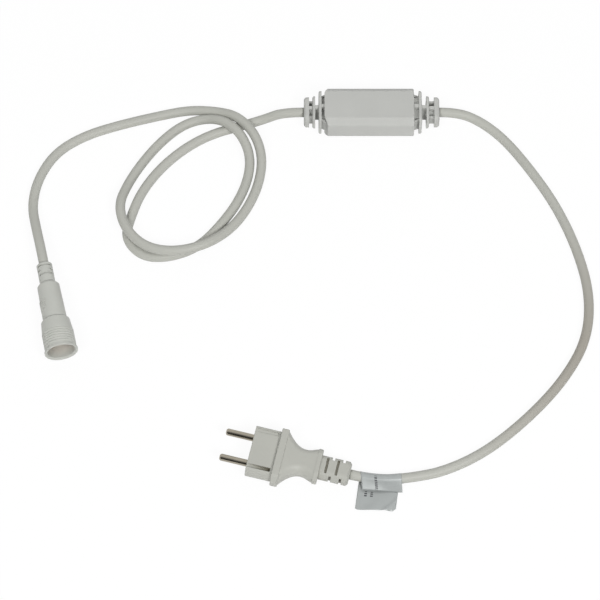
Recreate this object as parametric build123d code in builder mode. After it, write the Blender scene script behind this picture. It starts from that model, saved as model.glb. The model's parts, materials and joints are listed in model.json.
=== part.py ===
from build123d import *

import os
from math import acos, atan2, cos, degrees, hypot, pi, radians, sin, tan

# Power lead for an outdoor light chain: a two-pin contour plug, a mains lead with a folded film tag,
# an in-line rectifier block with a ribbed tail at each end, and an output lead that lies in a loose
# two-turn loop and ends in a round threaded connector.
# Sizes are millimetres. The origin is the middle of the rectifier housing's underside, +X runs along
# the housing from its output end to its mains end, and +Z is up. Everything lies on the plane Z = 0.

# Round rubber-sheathed cord and its two insulated cores
cord_diameter = 6.8
core_diameter = 2.2
core_spacing = 2.8
crossing_gap = 0.6
arc_share = 0.45

# Decimal places to which edges at one station of a tilted piece are taken together
station_digits = 3

# Rectifier block, an eight-sided moulding
block_length = 63.4
block_width = 31.2
block_height = 22.2
block_edge_chamfer = 4.2
block_edge_round = 2.2
output_corner_length = 2.6
output_corner_depth = 5.8
mains_corner_round = 0.9

# Ribbed soft tails of the block: gap, rib, gap, rib, gap, end plate. The output tail is pressed shorter.
mains_first_gap = 3.4
mains_second_gap = 3.2
mains_third_gap = 3.6
output_first_gap = 2.1
output_second_gap = 2.4
output_third_gap = 2.3
inner_rib_thickness = 2.1
inner_rib_width = 26.5
inner_rib_height = 19.6
outer_rib_thickness = 2.0
outer_rib_width = 19.6
outer_rib_height = 16.4
rib_edge_round = 1.3
tail_end_thickness = 3.7
tail_end_width = 19.6
tail_end_height = 13.8
tail_end_round = 2.2
tail_corner_radius = 3.4
tail_sleeve_diameter = 8.2
tail_spine_width = 2.7
tail_spine_inset = 0.4
tail_web_thickness = 1.7
inner_web_block_half = 12.5
inner_web_rib_half = 10.2
inner_web_height = 11.0
outer_web_half = 6.9
outer_web_height = 8.0

# Circuit inside the block
board_length = 42.0
board_width = 18.0
board_thickness = 1.6
pocket_clearance = 0.4
pocket_headroom = 6.2
core_end_inset = 6.5
lead_wire_diameter = 0.8
component_standoff = 0.5
diode_count = 4
diode_pitch = 4.6
diode_length = 5.2
diode_diameter = 2.7
diode_lead_span = 10.6
diode_row_shift = -4.4
fuse_length = 8.0
fuse_diameter = 3.6
fuse_lead_span = 14.0
fuse_shift = 8.6

# Contour plug: pins, front body, flange, waisted grip and slotted strain relief
plug_tail_x = -17.5
plug_tail_y = -279.6
plug_heading = -12.9
pin_spacing = 19.0
pin_length = 19.0
pin_diameter = 4.8
pin_tip_round = 1.5
pin_shank_diameter = 3.8
pin_shank_length = 12.0
bridge_width = 27.0
bridge_height = 8.0
bridge_thickness = 5.0
bridge_depth = 3.0
face_width = 34.4
face_height = 13.0
face_length = 17.5
face_edge_round = 0.5
outline_corner_radius = 1.5
groove_inner_half = 11.9
groove_outer_half = 14.7
groove_depth = 2.4
groove_stop = 1.4
flange_width = 39.2
flange_height = 18.4
flange_thickness = 4.9
flange_edge_round = 0.6
grip_length = 22.2
grip_corner_share = 0.4
grip_seat = 0.8
flare_power = 1.8
waist_distance = 13.0
waist_width = 18.2
waist_height = 13.6
rim_width = 23.8
rim_height = 14.8
rim_thickness = 3.0
rim_seat = 0.5
rim_edge_round = 0.7
relief_width = 16.4
relief_height = 11.6
relief_length = 20.5
relief_corner_radius = 5.0
relief_end_chamfer = 1.4
relief_slot_width = 1.3
relief_slot_depth = 2.0
relief_slot_pitch = 3.6
relief_slot_first = 4.3
relief_slot_count = 4
relief_top_slot_length = 11.0
relief_side_slot_height = 8.2
relief_notch_inset = 4.6
plug_core_bend = 6.0
plug_core_run = 9.0
plug_core_gather = 28.0

# Threaded connector: grip with slotted tail, collar, contact carrier and contact sleeves
connector_tail_x = -227.2
connector_tail_y = -123.6
connector_heading = -77.8
connector_tail_diameter = 10.8
connector_tail_length = 14.6
connector_tail_chamfer = 0.6
connector_shoulder_length = 2.8
grip_rear_diameter = 15.4
grip_front_diameter = 16.6
connector_grip_length = 43.8
connector_slot_width = 1.0
connector_slot_depth = 0.9
connector_slot_pitch = 3.3
connector_slot_first = 2.6
connector_slot_count = 3
connector_slot_width_across = 8.4
collar_length = 25.1
collar_rear_diameter = 19.8
collar_thread_diameter = 21.4
collar_rim_diameter = 22.9
collar_rim_length = 1.4
collar_shoulder = 1.6
collar_land_length = 8.8
collar_neck_diameter = 12.8
collar_neck_length = 5.0
mouth_diameter = 18.8
mouth_depth = 10.5
mouth_lead_in = 0.9
carrier_diameter = 15.0
carrier_tail_diameter = 10.0
carrier_shoulder = 1.4
contact_spacing = 5.2
sleeve_diameter = 3.2
sleeve_bore_diameter = 2.0
sleeve_bore_depth = 12.0
connector_core_bend = 8.0
connector_core_gather = 28.0
connector_core_spread = 36.0

# Folded film tag on the mains lead
tag_thickness = 0.3
tag_slack = 0.8
tag_distance = 7.2
tag_length = 27.2
tag_short_reach = 8.9
tag_long_reach = 22.5
tag_lift = 0.7
tag_sag_share = 0.33

# Heights and lengths that follow from the sizes above
floor_level = cord_diameter / 2
over_level = floor_level + cord_diameter + crossing_gap
axis_height = block_height / 2
plates_thickness = inner_rib_thickness + outer_rib_thickness + tail_end_thickness
mains_tail_length = mains_first_gap + mains_second_gap + mains_third_gap + plates_thickness
output_tail_length = output_first_gap + output_second_gap + output_third_gap + plates_thickness
block_middle = (output_tail_length - mains_tail_length) / 2
exit_x = (block_length + mains_tail_length + output_tail_length) / 2
board_top = axis_height - core_diameter / 2
board_bottom = board_top - board_thickness
flange_rear = face_length + flange_thickness
rim_front = flange_rear + grip_length
rim_rear = rim_front + rim_thickness
plug_length = rim_rear + relief_length


def heading(angle, dip=0.0):
    """Unit vector in the floor plane at an angle from +X, dipped below it by some degrees."""
    level = cos(radians(dip))
    return Vector(level * cos(radians(angle)), level * sin(radians(angle)), -sin(radians(dip)))


def lying_frame(start, direction):
    """Frame of a piece that lies along a direction: local X is its axis, local Y is level, Z is up."""
    side = Vector(0, 0, 1).cross(direction).normalized()
    return Plane(origin=start, x_dir=direction, z_dir=direction.cross(side))


def across(frame, station):
    """Plane square to a lying piece's axis: its own x is sideways and its y is up."""
    centre = frame.from_local_coords(Vector(station, 0, 0))
    return Plane(origin=centre, x_dir=frame.y_dir, z_dir=frame.x_dir)


def spot(frame, station, side, up=0.0):
    """World point at a station along a lying piece, moved sideways and up."""
    return frame.from_local_coords(Vector(station, side, up))


# The plug lies on the rear edges of its flange and of its grip rim, which sets its dip and height.
plug_dip = degrees(atan2((flange_height - rim_height) / 2, rim_rear - flange_rear))
plug_face_height = flange_rear * sin(radians(plug_dip)) + flange_height / 2 * cos(radians(plug_dip))
plug_direction = heading(plug_heading, plug_dip)
plug_tail_height = plug_face_height - plug_length * sin(radians(plug_dip))
plug_tail = Vector(plug_tail_x, plug_tail_y, plug_tail_height)
plug_frame = lying_frame(plug_tail - plug_direction * plug_length, plug_direction)
plug_axis = Axis(plug_frame.origin, plug_direction)

# The connector lies on its rim with its axis level.
connector_direction = heading(connector_heading)
connector_tail = Vector(connector_tail_x, connector_tail_y, collar_rim_diameter / 2)
connector_frame = lying_frame(connector_tail, connector_direction)
connector_axis = Axis(connector_frame.origin, connector_direction)
carrier_rear = connector_grip_length - collar_neck_length
mouth_station = connector_grip_length + collar_length
carrier_face = mouth_station - mouth_depth

# Routes of the two leads, chosen point by point
plug_exit_run = 18.0
connector_exit_run = 14.0
mains_route = [
    Vector(exit_x, 0, axis_height),
    Vector(61.1, 0, axis_height),
    Vector(77.1, -4.4, 6.4),
    Vector(94.1, -17.5, floor_level),
    Vector(111.6, -42.5, floor_level),
    Vector(128.6, -72.0, floor_level),
    Vector(141.6, -106.0, floor_level),
    Vector(149.1, -142.0, floor_level),
    Vector(145.6, -177.0, floor_level),
    Vector(128.6, -208.0, floor_level),
    Vector(103.6, -236.5, floor_level),
    Vector(74.6, -261.5, floor_level),
    Vector(46.6, -276.0, floor_level),
    Vector(23.6, -281.6, 5.0),
    plug_tail + plug_direction * plug_exit_run,
    plug_tail,
]
output_route = [
    Vector(-exit_x, 0, axis_height),
    Vector(-62.9, 0, axis_height),
    Vector(-76.9, -2.3, 5.0),
    Vector(-91.9, -6.4, floor_level),
    Vector(-113.4, -13.4, floor_level),
    Vector(-131.4, -24.4, floor_level),
    Vector(-148.4, -40.5, floor_level),
    Vector(-161.9, -60.5, floor_level),
    Vector(-168.9, -80.5, floor_level),
    Vector(-172.7, -98.3, floor_level),
    Vector(-159.7, -113.2, floor_level),
    Vector(-139.9, -113.0, floor_level),
    Vector(-120.9, -104.8, floor_level),
    Vector(-105.9, -87.5, floor_level),
    Vector(-94.0, -69.0, floor_level),
    Vector(-86.8, -49.0, floor_level),
    Vector(-85.8, -31.5, 5.5),
    Vector(-92.6, -17.0, over_level),
    Vector(-104.0, -6.6, over_level),
    Vector(-117.4, -1.0, 4.7),
    Vector(-133.2, -5.2, floor_level),
    Vector(-148.2, -18.4, floor_level),
    Vector(-161.9, -36.5, floor_level),
    Vector(-172.4, -56.5, 4.9),
    Vector(-177.4, -76.0, over_level),
    Vector(-172.0, -95.0, over_level),
    Vector(-157.9, -109.3, over_level),
    Vector(-137.9, -113.0, over_level),
    Vector(-115.9, -107.3, over_level),
    Vector(-98.4, -91.5, 5.2),
    Vector(-86.4, -72.5, floor_level),
    Vector(-79.0, -52.0, floor_level),
    Vector(-77.2, -33.0, 5.5),
    Vector(-82.6, -17.2, over_level),
    Vector(-95.2, -2.6, over_level),
    Vector(-111.4, 4.8, 5.0),
    Vector(-129.9, 6.6, floor_level),
    Vector(-152.4, 1.4, floor_level),
    Vector(-178.4, -5.7, floor_level),
    Vector(-203.4, -14.6, floor_level),
    Vector(-223.9, -29.0, floor_level),
    Vector(-235.4, -51.0, floor_level),
    Vector(-238.4, -72.5, 3.9),
    Vector(-234.4, -92.0, 8.0),
    connector_tail - connector_direction * connector_exit_run,
    connector_tail,
]


def bend_radii(route):
    """Largest arc at each corner of a route: a share of the shorter run over the half turn's tangent."""
    radii = []
    for before, corner, after in zip(route, route[1:], route[2:]):
        run_in = corner - before
        run_out = after - corner
        half_turn = radians(run_in.get_angle(run_out)) / 2
        radii.append(arc_share * min(run_in.length, run_out.length) / tan(half_turn))
    return radii


def report_lead(name, path, solid):
    """Print a lead's length and its volume against section times length."""
    section = pi * (cord_diameter / 2) ** 2
    length = sum(edge.length for edge in path.edges())
    print(f"{name}: length {length:.1f}, volume ratio {solid.volume / (section * length):.4f}")


os.makedirs("parts", exist_ok=True)

# Cores of the two leads inside the block, straight from the tail's end to their pads on the board
core_end_x = board_length / 2 - core_end_inset
block_cores = []
for name, way, side in (
    ("mains_core_1", 1, 1),
    ("mains_core_2", 1, -1),
    ("output_core_1", -1, 1),
    ("output_core_2", -1, -1),
):
    core_plane = Plane(
        origin=(block_middle + way * core_end_x, side * core_spacing / 2, axis_height),
        x_dir=(0, 1, 0),
        z_dir=(way, 0, 0),
    )
    with BuildPart() as block_core:
        with BuildSketch(core_plane):
            Circle(core_diameter / 2)
        extrude(amount=exit_x - way * block_middle - core_end_x)
    block_core.part.label = name
    export_step(block_core.part, f"parts/{name}.step")
    block_cores.append(block_core.part)

# Circuit board on the floor of the block's pocket
with BuildPart() as rectifier_board:
    with BuildSketch(Plane.XY.offset(board_bottom)):
        with Locations((block_middle, 0)):
            Rectangle(board_length, board_width)
    extrude(amount=board_thickness)
rectifier_board.part.label = "rectifier_board"
export_step(rectifier_board.part, "parts/rectifier_board.step")


def axial_component(name, station, body_length, body_diameter, lead_span):
    """Wire-ended component across the board: a bent lead wire through a round body."""
    height = board_top + component_standoff + body_diameter / 2
    half_span = lead_span / 2
    with BuildPart() as component:
        with BuildLine() as lead_wire:
            Polyline(
                (station, -half_span, board_top),
                (station, -half_span, height),
                (station, half_span, height),
                (station, half_span, board_top),
            )
        with BuildSketch(Plane(origin=lead_wire.line @ 0, z_dir=lead_wire.line % 0)):
            Circle(lead_wire_diameter / 2)
        sweep(transition=Transition.RIGHT)
        with BuildSketch(Plane(origin=(station, 0, height), x_dir=(1, 0, 0), z_dir=(0, 1, 0))):
            Circle(body_diameter / 2)
        extrude(amount=body_length / 2, both=True)
    component.part.label = name
    export_step(component.part, f"parts/{name}.step")


# Four diodes of the bridge in a row, and the fuse towards the mains end
for index in range(diode_count):
    diode_station = block_middle + diode_row_shift + (index - (diode_count - 1) / 2) * diode_pitch
    diode_name = f"rectifier_diode_{index + 1}"
    axial_component(diode_name, diode_station, diode_length, diode_diameter, diode_lead_span)
axial_component("fuse", block_middle + fuse_shift, fuse_length, fuse_diameter, fuse_lead_span)


def tail_plane(way, distance):
    """Plane square to the block at a distance from one of its ends, facing outwards."""
    start = block_middle + way * (block_length / 2 + distance)
    return Plane(origin=(start, 0, axis_height), x_dir=(0, 1, 0), z_dir=(way, 0, 0))


# Rectifier housing: block and both ribbed tails in one moulding round a pocket for the circuit
output_end = block_middle - block_length / 2
pocket_height = board_thickness + pocket_headroom
tail_gaps = {
    1: (mains_first_gap, mains_second_gap, mains_third_gap),
    -1: (output_first_gap, output_second_gap, output_third_gap),
}
tail_plates = [
    (inner_rib_thickness, inner_rib_width, inner_rib_height, rib_edge_round),
    (outer_rib_thickness, outer_rib_width, outer_rib_height, rib_edge_round),
    (tail_end_thickness, tail_end_width, tail_end_height, tail_end_round),
]
with BuildPart() as rectifier_housing:
    with BuildSketch(Plane.YZ.offset(output_end)) as block_section:
        with Locations((0, axis_height)):
            Rectangle(block_width, block_height)
        chamfer(block_section.vertices(), length=block_edge_chamfer)
        fillet(block_section.vertices(), radius=block_edge_round)
    extrude(amount=block_length)
    with BuildSketch(Plane.XY):
        for side in (1, -1):
            with BuildLine():
                Polyline(
                    (output_end, side * (block_width / 2 - output_corner_depth)),
                    (output_end + output_corner_length, side * block_width / 2),
                    (output_end, side * block_width / 2),
                    close=True,
                )
            make_face()
    extrude(amount=block_height, mode=Mode.SUBTRACT)
    mains_loop = rectifier_housing.edges().group_by(Axis.X, tol_digits=station_digits)[-1]
    fillet(mains_loop, radius=mains_corner_round)
    for way, outermost in ((1, -1), (-1, 0)):
        distance = 0.0
        for gap, (thickness, width, height, edge_round) in zip(tail_gaps[way], tail_plates):
            with BuildSketch(tail_plane(way, distance)):
                Rectangle(tail_spine_width, height - 2 * tail_spine_inset)
            extrude(amount=gap)
            with BuildSketch(tail_plane(way, distance + gap)):
                RectangleRounded(width, height, tail_corner_radius)
            extrude(amount=thickness)
            plate_loop = rectifier_housing.edges().group_by(Axis.X, tol_digits=station_digits)[outermost]
            fillet(plate_loop, radius=edge_round)
            distance += gap + thickness
    with BuildSketch(Plane.YZ.offset(-exit_x + tail_end_thickness / 2)):
        with Locations((0, axis_height)):
            Circle(tail_sleeve_diameter / 2)
    extrude(amount=2 * exit_x - tail_end_thickness)
    for way in (1, -1):
        first_gap, second_gap, third_gap = tail_gaps[way]
        web_start = block_middle + way * (block_length / 2 - output_corner_length)
        web_end = block_middle + way * (block_length / 2 + first_gap)
        with BuildSketch(Plane.XY.offset(axis_height - inner_web_height / 2)):
            for side in (1, -1):
                with BuildLine():
                    Polyline(
                        (web_start, side * inner_web_block_half),
                        (web_end, side * inner_web_rib_half),
                        (web_end, side * (inner_web_rib_half - tail_web_thickness)),
                        (web_start, side * (inner_web_block_half - tail_web_thickness)),
                        close=True,
                    )
                make_face()
        extrude(amount=inner_web_height)
        third_gap_start = first_gap + inner_rib_thickness + second_gap + outer_rib_thickness
        with BuildSketch(tail_plane(way, third_gap_start)):
            with GridLocations(2 * outer_web_half - tail_web_thickness, 1, 2, 1):
                Rectangle(tail_web_thickness, outer_web_height)
        extrude(amount=third_gap)
    with BuildSketch(Plane.XY.offset(board_bottom)):
        with Locations((block_middle, 0)):
            Rectangle(board_length + 2 * pocket_clearance, board_width + 2 * pocket_clearance)
    extrude(amount=pocket_height, mode=Mode.SUBTRACT)
    for block_core_part in block_cores:
        add(block_core_part, mode=Mode.SUBTRACT)
rectifier_housing.part.label = "rectifier_housing"
export_step(rectifier_housing.part, "parts/rectifier_housing.step")

# Plug pins: round-nosed outside the face, a thinner shank inside
plug_inner = []
for name, side in (("plug_pin_1", 1), ("plug_pin_2", -1)):
    pin_centre = spot(plug_frame, 0, side * pin_spacing / 2)
    with BuildPart() as plug_pin:
        with BuildSketch(Plane(origin=pin_centre, x_dir=plug_frame.y_dir, z_dir=-plug_direction)):
            Circle(pin_diameter / 2)
        extrude(amount=pin_length)
        fillet(plug_pin.edges().group_by(plug_axis, tol_digits=station_digits)[0], radius=pin_tip_round)
        with BuildSketch(Plane(origin=pin_centre, x_dir=plug_frame.y_dir, z_dir=plug_direction)):
            Circle(pin_shank_diameter / 2)
        extrude(amount=pin_shank_length)
    plug_pin.part.label = name
    export_step(plug_pin.part, f"parts/{name}.step")
    plug_inner.append(plug_pin.part)

# Hard bridge that holds both pin shanks at their spacing inside the front body
with BuildPart() as pin_bridge:
    with BuildSketch(across(plug_frame, bridge_depth)):
        RectangleRounded(bridge_width, bridge_height, bridge_height / 4)
        with GridLocations(pin_spacing, 1, 2, 1):
            Circle(pin_shank_diameter / 2, mode=Mode.SUBTRACT)
    extrude(amount=bridge_thickness)
pin_bridge.part.label = "pin_bridge"
export_step(pin_bridge.part, "parts/pin_bridge.step")
plug_inner.append(pin_bridge.part)

# Cores from the plug's tail to the pin shanks
for name, side in (("plug_core_1", 1), ("plug_core_2", -1)):
    with BuildPart() as plug_core:
        with BuildLine() as plug_core_path:
            FilletPolyline(
                spot(plug_frame, pin_shank_length, side * pin_spacing / 2),
                spot(plug_frame, pin_shank_length + plug_core_run, side * pin_spacing / 2),
                spot(plug_frame, pin_shank_length + plug_core_gather, side * core_spacing / 2),
                spot(plug_frame, plug_length, side * core_spacing / 2),
                radius=plug_core_bend,
            )
        with BuildSketch(Plane(origin=plug_core_path.line @ 0, z_dir=plug_core_path.line % 0)):
            Circle(core_diameter / 2)
        sweep()
    plug_core.part.label = name
    export_step(plug_core.part, f"parts/{name}.step")
    plug_inner.append(plug_core.part)


def flare(share, narrow, wide):
    """Size some share of the way up a flare, from its narrow end at 0 to its wide end at 1."""
    return narrow + (wide - narrow) * share**flare_power


# Grip sections from the flange through the waist to the rim: distance, width and height
grip_sections = []
for share in (1, 2 / 3, 1 / 3, 0):
    section_width = flare(share, waist_width, flange_width - 2 * grip_seat)
    section_height = flare(share, waist_height, flange_height - 2 * grip_seat)
    grip_sections.append((waist_distance * (1 - share), section_width, section_height))
for share in (1 / 2, 1):
    section_width = flare(share, waist_width, rim_width - 2 * rim_seat)
    section_height = flare(share, waist_height, rim_height - 2 * rim_seat)
    section_distance = waist_distance + (grip_length - waist_distance) * share
    grip_sections.append((section_distance, section_width, section_height))

# Plug body: one moulding round the pins, bridge and cores
with BuildPart() as plug_body:
    with BuildSketch(across(plug_frame, face_length)) as flange_outline:
        Circle(flange_width / 2)
        Rectangle(flange_width, flange_height, mode=Mode.INTERSECT)
        fillet(flange_outline.vertices(), radius=outline_corner_radius)
    extrude(amount=flange_thickness)
    flange_loops = plug_body.edges().group_by(plug_axis, tol_digits=station_digits)
    fillet(flange_loops[0] + flange_loops[-1], radius=flange_edge_round)
    with BuildSketch(across(plug_frame, 0)) as face_outline:
        Circle(face_width / 2)
        Rectangle(face_width, face_height, mode=Mode.INTERSECT)
        fillet(face_outline.vertices(), radius=outline_corner_radius)
    extrude(amount=face_length)
    fillet(plug_body.edges().group_by(plug_axis, tol_digits=station_digits)[0], radius=face_edge_round)
    groove_centre = (groove_inner_half + groove_outer_half) / 2
    with BuildSketch(across(plug_frame, 0)):
        with GridLocations(2 * groove_centre, face_height, 2, 2):
            Rectangle(groove_outer_half - groove_inner_half, 2 * groove_depth)
    extrude(amount=face_length - groove_stop, mode=Mode.SUBTRACT)
    for distance, width, height in grip_sections:
        with BuildSketch(across(plug_frame, flange_rear + distance)):
            RectangleRounded(width, height, height * grip_corner_share)
    loft()
    with BuildSketch(across(plug_frame, rim_front)):
        RectangleRounded(rim_width, rim_height, rim_height * grip_corner_share)
    extrude(amount=rim_thickness)
    fillet(plug_body.edges().group_by(plug_axis, tol_digits=station_digits)[-1], radius=rim_edge_round)
    with BuildSketch(across(plug_frame, rim_rear)):
        RectangleRounded(relief_width, relief_height, relief_corner_radius)
    extrude(amount=relief_length)
    chamfer(plug_body.edges().group_by(plug_axis, tol_digits=station_digits)[-1], length=relief_end_chamfer)
    for index in range(relief_slot_count):
        slot_station = rim_rear + relief_slot_first + index * relief_slot_pitch
        with BuildSketch(across(plug_frame, slot_station - relief_slot_width / 2)):
            if index % 2 == 0:
                with GridLocations(1, relief_height, 1, 2):
                    Rectangle(relief_top_slot_length, 2 * relief_slot_depth)
            else:
                with Locations((-relief_width / 2, 0)):
                    Rectangle(2 * relief_slot_depth, relief_side_slot_height)
                with Locations((relief_notch_inset, -relief_side_slot_height / 2)):
                    Rectangle(relief_width, relief_height, align=(Align.MIN, Align.MIN))
        extrude(amount=relief_slot_width, mode=Mode.SUBTRACT)
    for inner_part in plug_inner:
        add(inner_part, mode=Mode.SUBTRACT)
plug_body.part.label = "plug_body"
export_step(plug_body.part, "parts/plug_body.step")

# Cores from the connector's tail to its contact sleeves
connector_cores = []
for name, side in (("connector_core_1", 1), ("connector_core_2", -1)):
    with BuildPart() as connector_core:
        with BuildLine() as connector_core_path:
            FilletPolyline(
                spot(connector_frame, 0, side * core_spacing / 2),
                spot(connector_frame, connector_core_gather, side * core_spacing / 2),
                spot(connector_frame, connector_core_spread, side * contact_spacing / 2),
                spot(connector_frame, carrier_rear, side * contact_spacing / 2),
                radius=connector_core_bend,
            )
        with BuildSketch(Plane(origin=connector_core_path.line @ 0, z_dir=connector_core_path.line % 0)):
            Circle(core_diameter / 2)
        sweep()
    connector_core.part.label = name
    export_step(connector_core.part, f"parts/{name}.step")
    connector_cores.append(connector_core.part)

# Contact sleeves, open towards the mouth
contact_sleeves = []
for name, side in (("contact_sleeve_1", 1), ("contact_sleeve_2", -1)):
    sleeve_plane = Plane(
        origin=spot(connector_frame, carrier_rear, side * contact_spacing / 2),
        x_dir=connector_frame.y_dir,
        z_dir=connector_direction,
    )
    sleeve_length = carrier_face - carrier_rear
    with BuildPart() as contact_sleeve:
        with BuildSketch(sleeve_plane):
            Circle(sleeve_diameter / 2)
        extrude(amount=sleeve_length)
        with BuildSketch(sleeve_plane.offset(sleeve_length)):
            Circle(sleeve_bore_diameter / 2)
        extrude(amount=-sleeve_bore_depth, mode=Mode.SUBTRACT)
    contact_sleeve.part.label = name
    export_step(contact_sleeve.part, f"parts/{name}.step")
    contact_sleeves.append(contact_sleeve.part)

# Contact carrier: a stepped plug of hard plastic at the bottom of the mouth
carrier_step = connector_grip_length + carrier_shoulder
with BuildPart() as contact_carrier:
    with BuildSketch(connector_frame):
        with BuildLine():
            Polyline(
                (carrier_rear, 0),
                (carrier_rear, carrier_tail_diameter / 2),
                (carrier_step, carrier_tail_diameter / 2),
                (carrier_step, carrier_diameter / 2),
                (carrier_face, carrier_diameter / 2),
                (carrier_face, 0),
                close=True,
            )
        make_face()
    revolve(axis=connector_axis)
    for contact_sleeve_part in contact_sleeves:
        add(contact_sleeve_part, mode=Mode.SUBTRACT)
    with BuildSketch(across(connector_frame, carrier_face)):
        with GridLocations(contact_spacing, 1, 2, 1):
            Circle(sleeve_bore_diameter / 2)
    extrude(amount=-sleeve_bore_depth, mode=Mode.SUBTRACT)
contact_carrier.part.label = "contact_carrier"
export_step(contact_carrier.part, "parts/contact_carrier.step")

# Connector collar: hard shell with a rear neck, a conical land, the thread's ground and the mouth rim
thread_start = connector_grip_length + collar_land_length
with BuildPart() as connector_collar:
    with BuildSketch(connector_frame):
        with BuildLine():
            Polyline(
                (carrier_rear, carrier_tail_diameter / 2),
                (carrier_rear, collar_neck_diameter / 2),
                (connector_grip_length, collar_neck_diameter / 2),
                (connector_grip_length, collar_rear_diameter / 2 - collar_shoulder),
                (connector_grip_length + collar_shoulder, collar_rear_diameter / 2),
                (thread_start, collar_thread_diameter / 2),
                (mouth_station - collar_rim_length, collar_thread_diameter / 2),
                (mouth_station - collar_rim_length, collar_rim_diameter / 2),
                (mouth_station, collar_rim_diameter / 2),
                (mouth_station, mouth_diameter / 2 + mouth_lead_in),
                (mouth_station - mouth_lead_in, mouth_diameter / 2),
                (carrier_face, mouth_diameter / 2),
                (carrier_face, carrier_diameter / 2),
                (carrier_step, carrier_diameter / 2),
                (carrier_step, carrier_tail_diameter / 2),
                close=True,
            )
        make_face()
    revolve(axis=connector_axis)
connector_collar.part.label = "connector_collar"
export_step(connector_collar.part, "parts/connector_collar.step")

# Connector grip: overmoulded tail with cross slots, cone shoulder and tapered grip
shoulder_end = connector_tail_length + connector_shoulder_length
with BuildPart() as connector_grip:
    with BuildSketch(connector_frame):
        with BuildLine():
            Polyline(
                (0, 0),
                (0, connector_tail_diameter / 2 - connector_tail_chamfer),
                (connector_tail_chamfer, connector_tail_diameter / 2),
                (connector_tail_length, connector_tail_diameter / 2),
                (shoulder_end, grip_rear_diameter / 2),
                (connector_grip_length, grip_front_diameter / 2),
                (connector_grip_length, collar_neck_diameter / 2),
                (carrier_rear, collar_neck_diameter / 2),
                (carrier_rear, 0),
                close=True,
            )
        make_face()
    revolve(axis=connector_axis)
    for index in range(connector_slot_count):
        slot_station = connector_slot_first + index * connector_slot_pitch
        with BuildSketch(across(connector_frame, slot_station - connector_slot_width / 2)):
            Circle(connector_tail_diameter / 2)
            Circle(connector_tail_diameter / 2 - connector_slot_depth, mode=Mode.SUBTRACT)
            if index % 2 == 0:
                Rectangle(connector_slot_width_across, connector_tail_diameter, mode=Mode.INTERSECT)
            else:
                Rectangle(connector_tail_diameter, connector_slot_width_across, mode=Mode.INTERSECT)
        extrude(amount=connector_slot_width, mode=Mode.SUBTRACT)
    for connector_core_part in connector_cores:
        add(connector_core_part, mode=Mode.SUBTRACT)
connector_grip.part.label = "connector_grip"
export_step(connector_grip.part, "parts/connector_grip.step")

# The two leads: plain round tubes of straight runs and tangent arcs
for name, route in (("mains_lead", mains_route), ("output_lead", output_route)):
    lead_radii = bend_radii(route)
    with BuildPart() as lead:
        with BuildLine() as lead_path:
            FilletPolyline(*route, radius=lead_radii)
        with BuildSketch(Plane(origin=lead_path.line @ 0, z_dir=lead_path.line % 0)):
            Circle(cord_diameter / 2)
        sweep()
    lead.part.label = name
    export_step(lead.part, f"parts/{name}.step")
    report_lead(name, lead_path.line, lead.part)
    print(f"{name} radii:", [round(radius, 1) for radius in lead_radii])

# Film tag: wrapped loosely round the mains lead at its last bend, a long flap below and a short one on it
tag_bend = mains_route[-2]
tag_near = tag_bend + (mains_route[-1] - tag_bend).normalized() * (plug_exit_run - tag_distance)
tag_far_run = tag_length - (plug_exit_run - tag_distance)
tag_far = tag_bend + (mains_route[-3] - tag_bend).normalized() * tag_far_run
tag_along = (tag_far - tag_near).normalized()
tag_sag = tag_bend - tag_near - tag_along * (tag_bend - tag_near).dot(tag_along)
tag_start = tag_near + tag_sag * tag_sag_share
tag_wrap = cord_diameter / 2 + tag_slack + tag_thickness / 2
tag_short_end = Vector(tag_short_reach, tag_lift - tag_wrap)
tag_leave = degrees(atan2(tag_short_end.Y, tag_short_end.X) + acos(tag_wrap / tag_short_end.length))
with BuildPart() as cord_tag:
    with BuildSketch(Plane(origin=tag_start, x_dir=tag_along.cross(Vector(0, 0, 1)), z_dir=-tag_along)):
        with BuildLine():
            tag_hug = CenterArc((0, 0), tag_wrap, tag_leave, 270 - tag_leave)
            Line(tag_short_end, tag_hug @ 0)
            Line(tag_hug @ 1, (tag_long_reach, -tag_wrap))
        trace(line_width=tag_thickness)
    extrude(amount=-(tag_far - tag_near).length)
cord_tag.part.label = "cord_tag"
export_step(cord_tag.part, "parts/cord_tag.step")
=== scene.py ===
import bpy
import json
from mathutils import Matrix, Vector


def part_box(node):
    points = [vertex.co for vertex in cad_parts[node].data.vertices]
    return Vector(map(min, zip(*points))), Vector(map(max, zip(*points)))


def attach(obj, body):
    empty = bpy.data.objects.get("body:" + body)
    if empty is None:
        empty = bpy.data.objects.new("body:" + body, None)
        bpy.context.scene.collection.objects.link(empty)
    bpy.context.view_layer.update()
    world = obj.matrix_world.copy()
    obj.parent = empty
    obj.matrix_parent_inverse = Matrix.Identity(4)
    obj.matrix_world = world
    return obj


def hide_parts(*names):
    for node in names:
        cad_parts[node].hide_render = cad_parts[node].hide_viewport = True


bl_info = {
    "name": "Light-chain power cord",
    "version": (1, 0, 0),
    "blender": (4, 5, 0),
    "location": "View3D > Sidebar > Power cord",
    "description": "Dresses a power cord's solids: sheathed leads, mouldings, tag, thread and finishes",
    "category": "Object",
}

import json
import math

import bmesh
import bpy
from bpy.props import FloatProperty, FloatVectorProperty, IntProperty, PointerProperty
from mathutils import Matrix, Quaternion, Vector
from mathutils.bvhtree import BVHTree

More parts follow.
